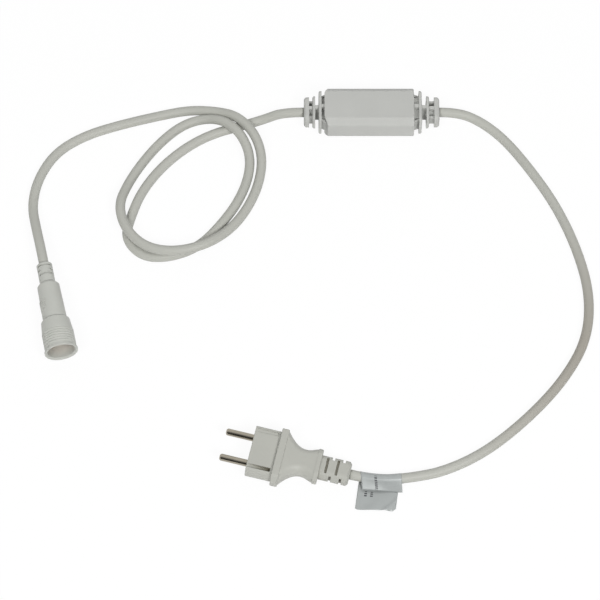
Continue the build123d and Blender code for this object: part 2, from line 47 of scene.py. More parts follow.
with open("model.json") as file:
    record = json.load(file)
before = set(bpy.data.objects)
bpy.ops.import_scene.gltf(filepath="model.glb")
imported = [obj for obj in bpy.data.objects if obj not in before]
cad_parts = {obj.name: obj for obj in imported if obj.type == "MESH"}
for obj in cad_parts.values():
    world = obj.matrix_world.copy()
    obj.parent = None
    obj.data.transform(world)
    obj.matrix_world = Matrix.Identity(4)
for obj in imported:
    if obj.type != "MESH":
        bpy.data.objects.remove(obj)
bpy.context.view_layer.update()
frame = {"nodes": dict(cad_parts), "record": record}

BODY = "root"
UP = Vector((0, 0, 1))
TOLERANCE = 0.0001
MILLIMETRE = 0.001

# Lengths of the plug and the connector, and where painted warm bounce light shows on the wall of the
# connector's mouth, from its rim
PLUG_LENGTH = 0.0681
CONNECTOR_LENGTH = 0.0689
MOUTH_LEAD_IN = 0.0009
MOUTH_WARMTH_RADIUS = 0.0096
MOUTH_WARMTH_START = 0.001
MOUTH_WARMTH_FADE = 0.006
MOUTH_WARMTH_END = 0.012

# Places on the block, the plug and the connector that the leads run to, from the frame
mounts = {mount["name"]: mount for mount in frame["record"]["mounts"]}
housing_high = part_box("rectifier_housing")[1]
block_exit = housing_high.x
block_axis_height = housing_high.z / 2
pin_mount = mounts["plug_pin_1"]
pin_axis = Vector(pin_mount["axis"])
pin_middle = (Vector(pin_mount["pos_m"]) + Vector(mounts["plug_pin_2"]["pos_m"])) / 2
plug_direction = -pin_axis
pin_half_length = pin_mount["dims"]["length_mm"] * MILLIMETRE / 2
plug_face = pin_middle + plug_direction * pin_half_length
plug_tail = plug_face + plug_direction * PLUG_LENGTH
plug_side = UP.cross(plug_direction).normalized()
plug_up = plug_direction.cross(plug_side)
plug_axes = Matrix((plug_direction, plug_side, plug_up))
mouth_mount = mounts["connector_mouth"]
mouth_half_depth = mouth_mount["dims"]["length_mm"] * MILLIMETRE / 2
connector_direction = Vector(mouth_mount["axis"])
connector_mouth = Vector(mouth_mount["pos_m"]) + connector_direction * (mouth_half_depth + MOUTH_LEAD_IN)
connector_tail = connector_mouth - connector_direction * CONNECTOR_LENGTH

# Start, end and height of the core in the first gap of each of the block's tails
TAIL_CORES = ((-0.0355, -0.0334, 0.0108), (0.0300, 0.0334, 0.0122))
TAIL_CORE_WIDTH = 0.0168

# Grooves beside the plug's pins, from its axis and its face, and how far their floors sink at either end
GROOVE_INNER = 0.0119
GROOVE_OUTER = 0.0147
GROOVE_FLOOR = 0.0041
GROOVE_END = 0.0161
GROOVE_EDGE = 0.0063
NEAR_GROOVE_SINK = (-0.0016, 0.0017)
FAR_GROOVE_SINK = (-0.0019, -0.0012)

# Slots in the plug's strain relief, from its face and its axis
FIRST_SLOT = 0.0519
SLOT_PITCH = 0.0036
SLOT_COUNT = 4
SLOT_STATIONS = [FIRST_SLOT + SLOT_PITCH * index for index in range(SLOT_COUNT)]
SLOT_HALF_WIDTH = 0.00065
SLOT_WIDENING = 0.0002
NEAR_SLOT_SIDE = (-0.0095, -0.0055)
NEAR_SLOT_RISE = (-0.0075, 0.0042)

# Rays that tell the faces inside the relief's slots from those outside, for the painted shade in the slots
RELIEF_START = 0.0476
RECESS_REACH = 0.004
RECESS_TILT = math.radians(40)
RECESS_RAYS = 12

# Merging, rounding and shading of a solid's softened copy
MERGE_DISTANCE = 0.000002
FLAT_ANGLE = math.radians(0.4)
BEVEL_ANGLE = math.radians(32)
BEVEL_SEGMENTS = 2
SHARP_ANGLE = math.radians(35)
FLAT_FACE_WEIGHT = 90

# Skins of the mouldings: depth of the pebbles, and shares of the block's grain and edge rounding
BLOCK_PEBBLE = 0.00006
FINE_PEBBLE = 0.00002
FINE_GRAIN = 0.6
CONNECTOR_EDGE = 0.4
PIN_EDGE = 0.3

# How far above level the finger ridges face, on the grip's left
RIDGE_RISE = math.radians(28)

# Lines right of which and in front of which the mains lead carries a painted shadow, and the share added per
# metre
BEND_SHADOW_RIGHT_OF = 0.06
BEND_SHADOW_RIGHT_GAIN = 12
BEND_SHADOW_IN_FRONT_OF = -0.08
BEND_SHADOW_FRONT_GAIN = 10

# Steps of the tag's grid along the lead, then across it on the short flap, the wrap and the long flap
TAG_COLUMNS = 32
SHORT_STEPS = 8
WRAP_STEPS = 16
LONG_STEPS = 20
WRAP_END = math.radians(270)

# The tag's film: cut at the long flap's two corners, creep, curl, waves and one crease
CUT_START = 0.43
CUT_SPAN = 0.07
PLUG_END_CUT = 0.0008
FREE_END_CUT = 0.0016
DRIFT_CENTRE = 0.3
SHORT_CURL = 0.0012
SHORT_WAVE = 0.0004
SHORT_WAVE_TURN = 6
LONG_WAVE = 0.0005
LONG_WAVE_TURN = 8
LONG_WAVE_SLANT = 4
CREASE_START = 0.72
CREASE_WIDTH = 0.0019
CREASE_HEIGHT = 0.0014

# Rows of plain dashes on the tag: from and to along the lead, then across it from the short flap's edge
DASH_ROWS = (
    ((0.0090, 0.0108), (0.0006, 0.0116)),
    ((0.0048, 0.0066), (0.0308, 0.0346)),
    ((0.0088, 0.0106), (0.0308, 0.0346)),
)
DASH_PITCH = 0.0016
DASH_SHARE = 0.6
INK = (0.05, 0.05, 0.055)

# Pieces and inner solids on the far end of each lead
PLUG_PIECES = ("plug_moulding", "plug_pin_1_plated", "plug_pin_2_plated", "tag_film")
PLUG_SOLIDS = ("pin_bridge", "plug_core_1", "plug_core_2")
CONNECTOR_PIECES = ("grip_moulding", "collar_shell", "collar_thread", "finger_ridges")
CONNECTOR_SOLIDS = (
    "contact_carrier", "contact_sleeve_1", "contact_sleeve_2", "connector_core_1", "connector_core_2",
)

# Finishes of the pieces held inside: colour, roughness, metallic share and the solids that have each
INNER_FINISHES = {
    "core_brown": (
        (0.16, 0.07, 0.03), 0.5, 0.0, ("mains_core_1", "output_core_1", "plug_core_1", "connector_core_1"),
    ),
    "core_blue": (
        (0.05, 0.18, 0.46), 0.5, 0.0, ("mains_core_2", "output_core_2", "plug_core_2", "connector_core_2"),
    ),
    "board_laminate": ((0.34, 0.27, 0.14), 0.55, 0.0, ("rectifier_board",)),
    "fuse_ceramic": ((0.55, 0.50, 0.40), 0.5, 0.0, ("fuse",)),
    "diode_epoxy": (
        (0.03, 0.03, 0.032), 0.45, 0.0, [f"rectifier_diode_{number}" for number in range(1, 5)],
    ),
    "bridge_plastic": ((0.45, 0.45, 0.42), 0.5, 0.0, ("pin_bridge",)),
    "carrier_plastic": ((0.34, 0.30, 0.25), 0.5, 0.0, ("contact_carrier",)),
    "contact_brass": ((0.62, 0.46, 0.22), 0.3, 1.0, ("contact_sleeve_1", "contact_sleeve_2")),
}

# Floor, lamps and camera
FLOOR_REACH = 6.0
FLOOR_GREY = (0.94, 0.94, 0.94, 1)
FLOOR_WHITENESS = 0.93
WHITE = (1, 1, 1, 1)
KEY_PLACE = (-1.8, -2.9, 4.25)
FILL_PLACE = (1.7, -3.15, 3.75)
LAMP_SIZE = 2.0
SENSOR_WIDTH = 36.0

# Surround: light that grows upwards and backwards, and a dark card in front for the pins to mirror
SKY_LEAN = 0.95
SKY_DROP = 0.05
SKY_LEAST = 0.06
CARD_EDGE = 0.2
CARD_EDGE_GAIN = 1.3
CARD_FOOT = 0.06
CARD_FOOT_GAIN = 10
CARD_DARKNESS = 0.95

# Routes of the leads, point by point
CORD_DIAMETER = 0.0068
CROSSING_GAP = 0.0006
FLOOR_LEVEL = CORD_DIAMETER / 2
OVER_LEVEL = FLOOR_LEVEL + CORD_DIAMETER + CROSSING_GAP
PLUG_EXIT_RUN = 0.018
CONNECTOR_EXIT_RUN = 0.014
MAINS_ROUTE = [Vector(place) for place in (
    (block_exit, 0, block_axis_height),
    (0.0611, 0, block_axis_height),
    (0.0771, -0.0044, 0.0064),
    (0.0941, -0.0175, FLOOR_LEVEL),
    (0.1116, -0.0425, FLOOR_LEVEL),
    (0.1286, -0.0720, FLOOR_LEVEL),
    (0.1416, -0.1060, FLOOR_LEVEL),
    (0.1491, -0.1420, FLOOR_LEVEL),
    (0.1456, -0.1770, FLOOR_LEVEL),
    (0.1286, -0.2080, FLOOR_LEVEL),
    (0.1036, -0.2365, FLOOR_LEVEL),
    (0.0746, -0.2615, FLOOR_LEVEL),
    (0.0466, -0.2760, FLOOR_LEVEL),
    (0.0236, -0.2816, 0.0050),
    plug_tail + plug_direction * PLUG_EXIT_RUN,
    plug_tail,
)]
OUTPUT_ROUTE = [Vector(place) for place in (
    (-block_exit, 0, block_axis_height),
    (-0.0629, 0, block_axis_height),
    (-0.0769, -0.0023, 0.0050),
    (-0.0919, -0.0064, FLOOR_LEVEL),
    (-0.1134, -0.0134, FLOOR_LEVEL),
    (-0.1314, -0.0244, FLOOR_LEVEL),
    (-0.1484, -0.0405, FLOOR_LEVEL),
    (-0.1619, -0.0605, FLOOR_LEVEL),
    (-0.1689, -0.0805, FLOOR_LEVEL),
    (-0.1727, -0.0983, FLOOR_LEVEL),
    (-0.1597, -0.1132, FLOOR_LEVEL),
    (-0.1399, -0.1130, FLOOR_LEVEL),
    (-0.1209, -0.1048, FLOOR_LEVEL),
    (-0.1059, -0.0875, FLOOR_LEVEL),
    (-0.0940, -0.0690, FLOOR_LEVEL),
    (-0.0868, -0.0490, FLOOR_LEVEL),
    (-0.0858, -0.0315, 0.0055),
    (-0.0926, -0.0170, OVER_LEVEL),
    (-0.1040, -0.0066, OVER_LEVEL),
    (-0.1174, -0.0010, 0.0047),
    (-0.1332, -0.0052, FLOOR_LEVEL),
    (-0.1482, -0.0184, FLOOR_LEVEL),
    (-0.1619, -0.0365, FLOOR_LEVEL),
    (-0.1724, -0.0565, 0.0049),
    (-0.1774, -0.0760, OVER_LEVEL),
    (-0.1720, -0.0950, OVER_LEVEL),
    (-0.1579, -0.1093, OVER_LEVEL),
    (-0.1379, -0.1130, OVER_LEVEL),
    (-0.1159, -0.1073, OVER_LEVEL),
    (-0.0984, -0.0915, 0.0052),
    (-0.0864, -0.0725, FLOOR_LEVEL),
    (-0.0790, -0.0520, FLOOR_LEVEL),
    (-0.0772, -0.0330, 0.0055),
    (-0.0826, -0.0172, OVER_LEVEL),
    (-0.0952, -0.0026, OVER_LEVEL),
    (-0.1114, 0.0048, 0.0050),
    (-0.1299, 0.0066, FLOOR_LEVEL),
    (-0.1524, 0.0014, FLOOR_LEVEL),
    (-0.1784, -0.0057, FLOOR_LEVEL),
    (-0.2034, -0.0146, FLOOR_LEVEL),
    (-0.2239, -0.0290, FLOOR_LEVEL),
    (-0.2354, -0.0510, FLOOR_LEVEL),
    (-0.2384, -0.0725, 0.0039),
    (-0.2344, -0.0920, 0.0080),
    connector_tail - connector_direction * CONNECTOR_EXIT_RUN,
    connector_tail,
)]


class CordLeads(bpy.types.PropertyGroup):
    """Sizes and colours of the two sheathed leads"""

    diameter: FloatProperty(
        name="Diameter", description="Outside of the sheath", default=CORD_DIAMETER, unit="LENGTH"
    )
    mains_length: FloatProperty(
        name="Mains length", description="Block to plug, along the lead", default=0.4315, unit="LENGTH"
    )
    output_length: FloatProperty(
        name="Output length", description="Block to connector, along the lead", default=0.9066, unit="LENGTH"
    )
    sides: IntProperty(name="Sides", description="Faces round the sheath", default=24)
    steps: IntProperty(name="Steps", description="Rings between two points of a route", default=14)
    sheath_colour: FloatVectorProperty(
        name="Sheath", description="Grey of the sheath", subtype="COLOR", size=3,
        default=(0.432, 0.435, 0.397),
    )
    # Painted shadow: darker, warmer grey laid on the mains lead's right bend
    bend_shadow_colour: FloatVectorProperty(
        name="Bend_shadow", description="Warmer grey of the mains lead's bend", subtype="COLOR", size=3,
        default=(0.335, 0.315, 0.275),
    )


class CordMouldings(bpy.types.PropertyGroup):
    """Finish of the moulded block, plug and connector, and the shade and warm light painted on the plug and
    in the connector's mouth
    """

    block_colour: FloatVectorProperty(
        name="Block", description="Grey of the rectifier block", subtype="COLOR", size=3,
        default=(0.477, 0.482, 0.461),
    )
    plug_colour: FloatVectorProperty(
        name="Plug", description="Grey of the plug", subtype="COLOR", size=3, default=(0.42, 0.422, 0.385)
    )
    connector_colour: FloatVectorProperty(
        name="Connector", description="Grey of the grip and its collar", subtype="COLOR", size=3,
        default=(0.475, 0.483, 0.448),
    )
    # Painted light: warm bounce light laid on the wall inside the connector's mouth
    mouth_warmth_colour: FloatVectorProperty(
        name="Mouth_warmth", description="Warm grey inside the connector's mouth", subtype="COLOR", size=3,
        default=(0.50, 0.476, 0.432),
    )
    # Painted shade: olive darkening laid in the plug's near grooves and relief slots
    groove_shade_colour: FloatVectorProperty(
        name="Groove", description="Olive grey in the plug's near grooves and slots", subtype="COLOR", size=3,
        default=(0.20, 0.185, 0.135),
    )
    edge_round: FloatProperty(
        name="Edge round", description="Softening of the moulded edges", default=0.00025, unit="LENGTH"
    )
    grain: FloatProperty(
        name="Grain", description="Size of the spark-eroded grain", default=0.0006, unit="LENGTH"
    )
    nickel_colour: FloatVectorProperty(
        name="Nickel", description="Plated plug pins", subtype="COLOR", size=3, default=(0.36, 0.33, 0.27)
    )


class CordThread(bpy.types.PropertyGroup):
    """Sizes of the thread on the connector's collar"""

    pitch: FloatProperty(name="Pitch", description="Ridge to ridge", default=0.0019, unit="LENGTH")
    ground_radius: FloatProperty(
        name="Ground radius", description="Collar under the ridges", default=0.0107, unit="LENGTH"
    )
    ridge_height: FloatProperty(
        name="Ridge height", description="Ridge above the ground", default=0.0003, unit="LENGTH"
    )
    ridge_width: FloatProperty(
        name="Ridge width", description="Foot of a ridge, along the collar", default=0.0016, unit="LENGTH"
    )
    start: FloatProperty(
        name="Start", description="First ridge, from the mouth", default=0.0150, unit="LENGTH"
    )
    end: FloatProperty(
        name="End", description="Last ridge, from the mouth", default=0.0024, unit="LENGTH"
    )


class CordRidges(bpy.types.PropertyGroup):
    """Finger ridges on the left of the connector's grip"""

    count: IntProperty(name="Count", description="Number of ridges", default=6)
    pitch: FloatProperty(name="Pitch", description="Ridge to ridge", default=0.0014, unit="LENGTH")
    first: FloatProperty(
        name="First", description="First ridge, from the connector's tail", default=0.0295, unit="LENGTH"
    )
    radius: FloatProperty(
        name="Radius", description="Grip under the ridges", default=0.00806, unit="LENGTH"
    )
    height: FloatProperty(
        name="Height", description="Ridge above the grip", default=0.00025, unit="LENGTH"
    )
    width: FloatProperty(name="Width", description="Foot of a ridge", default=0.0009, unit="LENGTH")
    sweep: FloatProperty(
        name="Sweep", description="Angle that a ridge covers", default=math.radians(64), unit="ROTATION"
    )


class CordTag(bpy.types.PropertyGroup):
    """Sizes and colour of the folded film tag"""

    film: FloatProperty(name="Film", description="Thickness of the film", default=0.00014, unit="LENGTH")
    offset: FloatProperty(
        name="Offset", description="From the plug's tail to the tag", default=0.0072, unit="LENGTH"
    )
    width: FloatProperty(name="Width", description="Along the lead", default=0.0272, unit="LENGTH")
    short_reach: FloatProperty(
        name="Short flap", description="Upper flap, from the lead's axis", default=0.0089, unit="LENGTH"
    )
    long_reach: FloatProperty(
        name="Long flap", description="Lower flap, from the lead's axis", default=0.0225, unit="LENGTH"
    )
    lift: FloatProperty(
        name="Lift", description="Short flap's edge above the long flap", default=0.0009, unit="LENGTH"
    )
    drift: FloatProperty(
        name="Drift", description="Sideways creep of the wrap, edge to edge", default=0.0042, unit="LENGTH"
    )
    film_colour: FloatVectorProperty(
        name="Film colour", description="Silvered grey film", subtype="COLOR", size=3,
        default=(0.37, 0.39, 0.385),
    )


class CordStage(bpy.types.PropertyGroup):
    """Camera and light"""

    camera_place: FloatVectorProperty(
        name="Camera", description="Where the camera stands", subtype="XYZ", size=3, unit="LENGTH",
        default=(-0.0507, -1.0838, 1.7659),
    )
    camera_aim: FloatVectorProperty(
        name="Aim", description="Point on the floor that it looks at", subtype="XYZ", size=3, unit="LENGTH",
        default=(-0.05073, -0.14489, 0.0),
    )
    lens: FloatProperty(name="Lens", description="Focal length in millimetres", default=174.0)
    key_power: FloatProperty(
        name="Key", description="Large lamp in front and left, in watts", default=110.0
    )
    fill_power: FloatProperty(
        name="Fill", description="Large lamp in front and right, in watts", default=148.0
    )
    surround: FloatProperty(name="Surround", description="Light from above and behind", default=0.52)


class Wire:
    """A node tree's socket that takes part in Python expressions; each operator adds its Math node"""

    def __init__(self, tree, socket=None):
        self.tree = tree
        self.socket = socket

    def node(self, kind, settings=None, sockets=None):
        """Add a node: its settings first, then the values or wires of its sockets"""
        made = self.tree.nodes.new(kind)
        for name, value in (settings or {}).items():
            setattr(made, name, value)
        for key, value in (sockets or {}).items():
            if isinstance(value, Wire):
                self.tree.links.new(value.socket, made.inputs[key])
            else:
                made.inputs[key].default_value = value
        return Wire(self.tree, made.outputs[0] if made.outputs else None)

    def part(self, name):
        """One output of the node that this socket belongs to"""
        return Wire(self.tree, self.socket.node.outputs[name])

    def math(self, operation, *values):
        """Add a Math node on numbers and wires"""
        return self.node("ShaderNodeMath", {"operation": operation}, dict(enumerate(values)))

    def __add__(self, other):
        return self.math("ADD", self, other)

    def __radd__(self, other):
        return self.math("ADD", other, self)

    def __sub__(self, other):
        return self.math("SUBTRACT", self, other)

    def __rsub__(self, other):
        return self.math("SUBTRACT", other, self)

    def __mul__(self, other):
        return self.math("MULTIPLY", self, other)

    def __rmul__(self, other):
        return self.math("MULTIPLY", other, self)

    def __truediv__(self, other):
        return self.math("DIVIDE", self, other)

    def __rtruediv__(self, other):
        return self.math("DIVIDE", other, self)

    def above(self, edge):
        return self.math("GREATER_THAN", self, edge)

    def below(self, edge):
        return self.math("LESS_THAN", self, edge)

    def between(self, low, high):
        return self.above(low) * self.below(high)

    def clamped(self):
        """The value held between 0 and 1"""
        return self.math("MINIMUM", self.math("MAXIMUM", self, 0.0), 1.0)


def start_material(name):
    """New empty material and the wire that its nodes start from"""
    material = bpy.data.materials.new(name)
    material.use_nodes = True
    material.node_tree.nodes.clear()
    return material, Wire(material.node_tree)


def end_material(wire, shader):
    """Put a shader on the surface of a wire's material"""
    wire.node("ShaderNodeOutputMaterial", None, {"Surface": shader})


def finished_material(material, wire, sockets):
    """The material, closed with a Principled shader that has the given sockets"""
    end_material(wire, wire.node("ShaderNodeBsdfPrincipled", None, sockets))
    return material


def mapped(wire, coordinates, **changes):
    """Coordinates moved, turned or scaled by the sockets of a Mapping node"""
    return wire.node("ShaderNodeMapping", None, {"Vector": coordinates, **changes})


def split(wire, coordinates):
    """X, Y and Z of coordinates, a wire each"""
    spot = wire.node("ShaderNodeSeparateXYZ", None, {0: coordinates})
    return [spot.part(axis) for axis in "XYZ"]


def noise(wire, coordinates, size, detail=2.0, roughness=0.5):
    """Noise whose features are about the given size"""
    sockets = {"Vector": coordinates, "Scale": 1 / size, "Detail": detail, "Roughness": roughness}
    return wire.node("ShaderNodeTexNoise", None, sockets).part("Fac")


def varied(level, *noises):
    """A level that noises move up and down, each by its own weight"""
    for source, weight in noises:
        level = level + (source - 0.5) * weight
    return level


def tint(wire, share, low, high):
    """Colour between two, each a colour or a wire, by a share from 0 to 1"""
    mix = wire.node("ShaderNodeMix", {"data_type": "RGBA"}, {0: share}).socket.node
    for socket, colour in zip([socket for socket in mix.inputs if socket.type == "RGBA"], (low, high)):
        if isinstance(colour, Wire):
            wire.tree.links.new(colour.socket, socket)
        else:
            socket.default_value = (*colour, 1)
    return Wire(wire.tree, next(socket for socket in mix.outputs if socket.type == "RGBA"))


def mottled(wire, share, colour, darkest, lightest):
    """A colour between a darker and a lighter shade of itself, by a share from 0 to 1"""
    shades = [tuple(min(1.0, channel * factor) for channel in colour) for factor in (darkest, lightest)]
    return tint(wire, share, *shades)


def bumped(wire, height, depth, strength):
    """Relief of a surface, from a height between 0 and 1"""
    return wire.node("ShaderNodeBump", None, {"Strength": strength, "Distance": depth, "Height": height})


def seen_from(wire, place, turn, origin):
    """X, Y and Z of a place, from a piece's own origin and along its own axes"""
    return split(wire, mapped(wire, place, Rotation=turn.to_euler(), Location=-(turn @ origin)))


def painted_mouth_warmth(wire, place):
    """Share of the painted warm bounce light in the mouth: full on the wall well inside the rim, none on the
    collar's outside
    """
    turn = connector_direction.to_track_quat("Z", "Y").to_matrix().inverted()
    sideways, upwards, outward = seen_from(wire, place, turn, connector_mouth)
    inward = -1 * outward
    round_axis = wire.math("SQRT", sideways * sideways + upwards * upwards)
    past_rim = ((inward - MOUTH_WARMTH_START) / MOUTH_WARMTH_FADE).clamped()
    return round_axis.below(MOUTH_WARMTH_RADIUS) * inward.below(MOUTH_WARMTH_END) * past_rim


def painted_groove_shade(wire, place):
    """Share of the painted shade in the plug's near grooves: none at the face, full at the flange"""
    along, across, up = seen_from(wire, place, plug_axes, plug_face)
    rise = wire.math("ABSOLUTE", up)
    sunk = across.between(-GROOVE_OUTER - TOLERANCE, -GROOVE_INNER + TOLERANCE) * rise.below(GROOVE_EDGE)
    return sunk * along.below(GROOVE_END + TOLERANCE) * (along / GROOVE_END).clamped()


def painted_recess_shade(wire, place):
    """Share of the painted shade in the plug's near grooves and in its relief's slots"""
    # Painted shade in the slots, from the share of rays that the moulding stops
    slots = wire.node("ShaderNodeAttribute", {"attribute_name": "recess"}).part("Fac")
    return wire.math("MAXIMUM", painted_groove_shade(wire, place), slots)


def moulded_plastic(name, colour, grain, pebble, roughness, inside=None, painted_light_colour=None):
    """Spark-eroded moulding: soft cloudiness, fine speckle, a pebbled surface and, where asked, painted light
    in its hollows: shade in the plug's grooves, warmth in the connector's mouth
    """
    material, wire = start_material(name)
    place = wire.node("ShaderNodeTexCoord").part("Object")
    cloud = noise(wire, place, size=0.018, detail=3)
    speckle = noise(wire, place, size=grain, roughness=0.6)
    fine = noise(wire, place, size=grain * 0.4, detail=1)
    share = varied(0.5, (cloud, 0.5), (speckle, 0.9))
    skin = mottled(wire, share, colour, darkest=0.90, lightest=1.10)
    if inside:
        # Painted light laid over the skin: shade in the plug's grooves and slots, warm bounce light in the
        # connector's mouth
        skin = tint(wire, inside(wire, place), skin, painted_light_colour)
    sockets = {
        "Base Color": skin,
        "Roughness": varied(roughness, (speckle, 0.25)),
        "Normal": bumped(wire, speckle * 0.7 + fine * 0.3, pebble, strength=1.0),
        "Specular IOR Level": 0.4,
    }
    return finished_material(material, wire, sockets)


def sheath_rubber(name, colour, bend_shadow):
    """Cord sheath: drawn lines along it, faint rings from the extruder and a painted shadow on the mains
    lead's right bend
    """
    material, wire = start_material(name)
    coordinates = wire.node("ShaderNodeTexCoord")
    along_round = coordinates.part("UV")
    place = coordinates.part("Object")
    lines = noise(wire, mapped(wire, along_round, Scale=(0.02, 1.0, 1.0)), size=0.0018)
    rings = noise(wire, mapped(wire, along_round, Scale=(1.0, 0.05, 1.0)), size=0.012)
    marks = noise(wire, place, size=0.03, detail=3, roughness=0.6)
    share = varied(0.5, (lines, 0.2), (rings, 0.3), (marks, 0.6))
    unshadowed_sheath = mottled(wire, share, colour, darkest=0.94, lightest=1.06)
    across, depth = split(wire, place)[:2]
    # Painted shadow, warmer and darker, on the mains lead right of and in front of these lines
    right = ((across - BEND_SHADOW_RIGHT_OF) * BEND_SHADOW_RIGHT_GAIN).clamped()
    front = ((BEND_SHADOW_IN_FRONT_OF - depth) * BEND_SHADOW_FRONT_GAIN).clamped()
    sockets = {
        "Base Color": tint(wire, right * front, unshadowed_sheath, bend_shadow),
        "Roughness": varied(0.50, (marks, 0.2)),
        "Normal": bumped(wire, lines * 0.6 + rings * 0.4, depth=0.00002, strength=0.5),
        "Specular IOR Level": 0.4,
    }
    return finished_material(material, wire, sockets)


def plated_nickel(name, colour, axis):
    """Turned and plated pins: fine rings round their axis, cloudy tarnish"""
    material, wire = start_material(name)
    place = wire.node("ShaderNodeTexCoord").part("Object")
    turned = mapped(wire, place, Rotation=axis.to_track_quat("X", "Z").to_matrix().inverted().to_euler())
    rings = noise(wire, mapped(wire, turned, Scale=(1.0, 0.03, 0.03)), size=0.0004, detail=1)
    tarnish = noise(wire, place, size=0.006, detail=3, roughness=0.6)
    sockets = {
        "Base Color": mottled(wire, varied(0.5, (tarnish, 1.2)), colour, darkest=0.88, lightest=1.10),
        "Metallic": 1.0,
        "Roughness": varied(0.17, (tarnish, 0.15)),
        "Normal": bumped(wire, rings, depth=0.000004, strength=0.06),
    }
    return finished_material(material, wire, sockets)


def silvered_film(name, colour):
    """Tag film: silver-grey face with soft waves, and rows of plain dashes"""
    material, wire = start_material(name)
    coordinates = wire.node("ShaderNodeTexCoord")
    place = coordinates.part("Object")
    cloud = noise(wire, place, size=0.007)
    fleck = noise(wire, place, size=0.0003)
    share = varied(0.5, (cloud, 0.9), (fleck, 0.3))
    film = mottled(wire, share, colour, darkest=0.92, lightest=1.08)
    along, across = split(wire, coordinates.part("UV"))[:2]
    rows = sum(along.between(*length) * across.between(*reach) for length, reach in DASH_ROWS)
    dashes = wire.math("FRACT", across / DASH_PITCH).below(DASH_SHARE)
    sockets = {
        "Base Color": tint(wire, rows * dashes, film, INK),
        "Metallic": 0.2,
        "Roughness": varied(0.40, (fleck, 0.2)),
        "Normal": bumped(wire, cloud, depth=0.0002, strength=0.4),
    }
    return finished_material(material, wire, sockets)


def plain_finish(name, colour, roughness, metallic):
    """Finish of the pieces held inside: a mottled colour with a fine surface"""
    material, wire = start_material(name)
    mottle = noise(wire, wire.node("ShaderNodeTexCoord").part("Object"), size=0.0008, detail=3)
    sockets = {
        "Base Color": mottled(wire, mottle, colour, darkest=0.8, lightest=1.2),
        "Metallic": metallic,
        "Roughness": varied(roughness, (mottle, 0.2)),
        "Normal": bumped(wire, mottle, depth=0.00002, strength=0.4),
    }
    return finished_material(material, wire, sockets)


def link_piece(name, data):
    """New object in the scene with a mesh, curve, lamp or camera"""
    piece = bpy.data.objects.new(name, data)
    bpy.context.scene.collection.objects.link(piece)
    return piece


def finish_piece(piece, slot, *nodes):
    """Attach a finished piece to its body and hide the solids that it stands for; the slot is not used"""
    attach(piece, BODY)
    if nodes:
        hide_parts(*nodes)


def dress_node(node, material):
    """Put a finish on a solid that shows as it is"""
    mesh = frame["nodes"][node].data
    mesh.materials.clear()
    mesh.materials.append(material)


def evaluated_mesh(piece):
    """Plain mesh of a piece as its modifiers leave it, or of a curve"""
    bpy.context.view_layer.update()
    return bpy.data.meshes.new_from_object(piece.evaluated_get(bpy.context.evaluated_depsgraph_get()))


def finished_mesh(name, shape):
    """Mesh of a shape built face by face, with its faces turned outwards"""
    bmesh.ops.recalc_face_normals(shape, faces=shape.faces)
    mesh = bpy.data.meshes.new(name)
    shape.to_mesh(mesh)
    shape.free()
    return mesh


def fill_tail_roots(shape):
    """Add the wide core that shows between the block and the first plate of each tail"""
    for start, end, height in TAIL_CORES:
        middle = Matrix.Translation(((start + end) / 2, 0, block_axis_height))
        size = Matrix.Diagonal((end - start, TAIL_CORE_WIDTH, height, 1))
        bmesh.ops.create_cube(shape, size=1, matrix=middle @ size)


def slope_grooves(shape):
    """Let the plug's near grooves deepen from the face towards the flange, and the far ones stay shallow"""
    for vertex in shape.verts:
        along, across, rise = plug_axes @ (vertex.co - plug_face)
        beside_pins = GROOVE_INNER - TOLERANCE < abs(across) < GROOVE_OUTER + TOLERANCE
        on_floor = abs(abs(rise) - GROOVE_FLOOR) < TOLERANCE
        if beside_pins and on_floor and along < GROOVE_END + TOLERANCE:
            start, end = NEAR_GROOVE_SINK if across < 0 else FAR_GROOVE_SINK
            sink = start + (end - start) * along / GROOVE_END
            vertex.co -= plug_up * (sink if rise > 0 else -sink)


def cut_near_slots(shape):
    """Carry the relief's near slots on through its lower edge, as the far ones run through its upper edge"""
    (near, far), (low, high) = NEAR_SLOT_SIDE, NEAR_SLOT_RISE
    size = Matrix.Diagonal((2 * (SLOT_HALF_WIDTH + SLOT_WIDENING), far - near, high - low, 1))
    boxes = bmesh.new()
    for station in SLOT_STATIONS[1::2]:
        middle = Matrix.Translation((station, (near + far) / 2, (low + high) / 2))
        place = Matrix.Translation(plug_face) @ plug_axes.transposed().to_4x4() @ middle
        bmesh.ops.create_cube(boxes, size=1, matrix=place @ size)
    blank, cutter = (link_piece(name, bpy.data.meshes.new(name)) for name in ("relief_blank", "slot_cutter"))
    shape.to_mesh(blank.data)
    boxes.to_mesh(cutter.data)
    boxes.free()
    cut = blank.modifiers.new("slots", "BOOLEAN")
    cut.operation = "DIFFERENCE"
    cut.solver = "EXACT"
    cut.object = cutter
    mesh = evaluated_mesh(blank)
    shape.clear()
    shape.from_mesh(mesh)
    for left_over in (mesh, blank.data, cutter.data):
        bpy.data.meshes.remove(left_over)


def widen_slots(shape):
    """Open the slots of the plug's relief a little"""
    for vertex in shape.verts:
        along = (vertex.co - plug_face).dot(plug_direction)
        for station in SLOT_STATIONS:
            if abs(abs(along - station) - SLOT_HALF_WIDTH) < TOLERANCE:
                vertex.co += plug_direction * math.copysign(SLOT_WIDENING, along - station)


